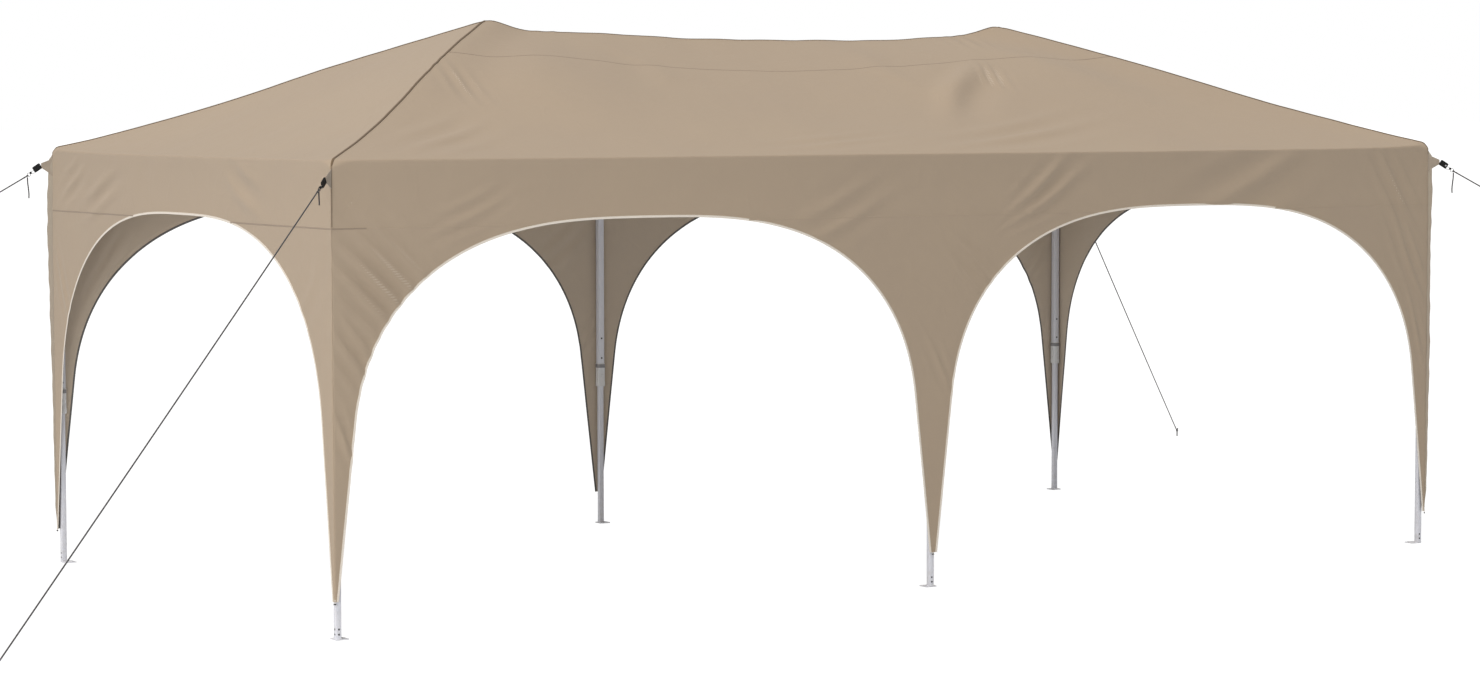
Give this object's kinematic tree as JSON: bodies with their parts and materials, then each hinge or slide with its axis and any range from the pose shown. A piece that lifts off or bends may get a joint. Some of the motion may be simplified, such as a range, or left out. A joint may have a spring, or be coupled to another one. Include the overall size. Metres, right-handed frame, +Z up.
{
  "type": "pop-up party tent",
  "caption": "Pop-up party tent: hipped cloth canopy with two peaks, arched walls that taper down telescopic steel legs, scissor trusses, corner guy lines and pegs.",
  "frame": {"origin": "on the ground, under the middle of the tent", "axes": "+X along the long walls, from the left end to the right end; +Z up; the front wall faces -Y"},
  "size_m": [11.2318, 7.2274, 2.575],
  "materials": {
    "canopy_cloth": "matt tan coated polyester",
    "white_steel": "white powder coat",
    "pale_plastic": "pale grey moulded plastic",
    "guy_rope": "dark braided rope",
    "dark_steel": "black steel wire"
  },
  "bodies": {
    "root": {"outer_leg_front_left": "white_steel", "outer_leg_front_middle": "white_steel", "outer_leg_front_right": "white_steel", "outer_leg_back_left": "white_steel", "outer_leg_back_middle": "white_steel", "outer_leg_back_right": "white_steel", "leg_cap_front_left": "pale_plastic", "leg_cap_front_middle": "pale_plastic", "leg_cap_front_right": "pale_plastic", "leg_cap_back_left": "pale_plastic", "leg_cap_back_middle": "pale_plastic", "leg_cap_back_right": "pale_plastic", "slider_front_left": "pale_plastic", "slider_front_middle": "pale_plastic", "slider_front_right": "pale_plastic", "slider_back_left": "pale_plastic", "slider_back_middle": "pale_plastic", "slider_back_right": "pale_plastic", "truss_front_left": "white_steel", "truss_front_right": "white_steel", "truss_back_left": "white_steel", "truss_back_right": "white_steel", "truss_left_end": "white_steel", "truss_middle": "white_steel", "truss_right_end": "white_steel", "peak_truss_left": "white_steel", "peak_truss_right": "white_steel", "roof_front": "canopy_cloth", "roof_back": "canopy_cloth", "roof_left_end": "canopy_cloth", "roof_right_end": "canopy_cloth", "band_front": "canopy_cloth", "band_back": "canopy_cloth", "band_left_end": "canopy_cloth", "band_right_end": "canopy_cloth", "skirt_front_left": "canopy_cloth", "skirt_front_middle": "canopy_cloth", "skirt_front_right": "canopy_cloth", "skirt_back_left": "canopy_cloth", "skirt_back_middle": "canopy_cloth", "skirt_back_right": "canopy_cloth", "guy_line_front_left": "guy_rope", "guy_line_front_right": "guy_rope", "guy_line_back_left": "guy_rope", "guy_line_back_right": "guy_rope", "rope_tail_front_left": "guy_rope", "rope_tail_front_right": "guy_rope", "rope_tail_back_left": "guy_rope", "rope_tail_back_right": "guy_rope", "peg_front_left": "dark_steel", "peg_front_right": "dark_steel", "peg_back_left": "dark_steel", "peg_back_right": "dark_steel"},
    "lower_leg_front_left": {"inner_leg_front_left": "white_steel"},
    "lower_leg_front_middle": {"inner_leg_front_middle": "white_steel"},
    "lower_leg_front_right": {"inner_leg_front_right": "white_steel"},
    "lower_leg_back_left": {"inner_leg_back_left": "white_steel"},
    "lower_leg_back_middle": {"inner_leg_back_middle": "white_steel"},
    "lower_leg_back_right": {"inner_leg_back_right": "white_steel"}
  },
  "joints": [
    {"name": "leg_height_front_left", "type": "slide", "parent": "root", "child": "lower_leg_front_left", "axis": [0, 0, 1], "range_m": [0, 0.7]},
    {"name": "leg_height_front_middle", "type": "slide", "parent": "root", "child": "lower_leg_front_middle", "axis": [0, 0, 1], "range_m": [0, 0.7]},
    {"name": "leg_height_front_right", "type": "slide", "parent": "root", "child": "lower_leg_front_right", "axis": [0, 0, 1], "range_m": [0, 0.7]},
    {"name": "leg_height_back_left", "type": "slide", "parent": "root", "child": "lower_leg_back_left", "axis": [0, 0, 1], "range_m": [0, 0.7]},
    {"name": "leg_height_back_middle", "type": "slide", "parent": "root", "child": "lower_leg_back_middle", "axis": [0, 0, 1], "range_m": [0, 0.7]},
    {"name": "leg_height_back_right", "type": "slide", "parent": "root", "child": "lower_leg_back_right", "axis": [0, 0, 1], "range_m": [0, 0.7]}
  ]
}
